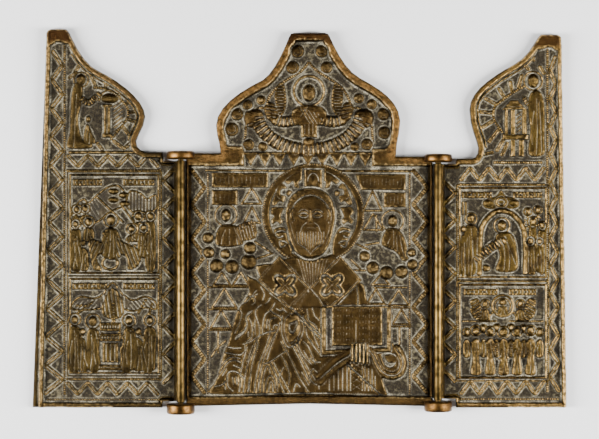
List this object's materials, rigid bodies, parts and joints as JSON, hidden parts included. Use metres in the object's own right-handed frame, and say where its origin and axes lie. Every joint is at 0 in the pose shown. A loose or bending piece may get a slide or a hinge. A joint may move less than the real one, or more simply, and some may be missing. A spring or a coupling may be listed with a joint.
{
  "type": "triptych altarpiece",
  "caption": "Folding cast-brass travelling altarpiece: a carved centre leaf with an onion crest and hinged wings, opened flat on its back.",
  "frame": {"origin": "middle of the bounding box on the surface that the backs lie on", "axes": "+X to the right across the opened leaves, +Y towards the crest, +Z out of the carved faces"},
  "size_m": [0.1946, 0.1402, 0.0102],
  "materials": {
    "centre_brass": "aged cast, polished on the high places",
    "left_brass": "aged cast, polished on the high places",
    "right_brass": "aged cast, polished on the high places"
  },
  "bodies": {
    "centre": {"centre_panel": "centre_brass"},
    "left": {"left_wing": "left_brass"},
    "right": {"right_wing": "right_brass"}
  },
  "joints": [
    {"name": "left_hinge", "type": "hinge", "parent": "centre", "child": "left", "pos_m": [-0.0434, 0, 0.0051], "axis": [0, 1, 0], "range_deg": [0, 175]},
    {"name": "right_hinge", "type": "hinge", "parent": "centre", "child": "right", "pos_m": [0.0502, 0, 0.0051], "axis": [0, -1, 0], "range_deg": [0, 180]}
  ]
}
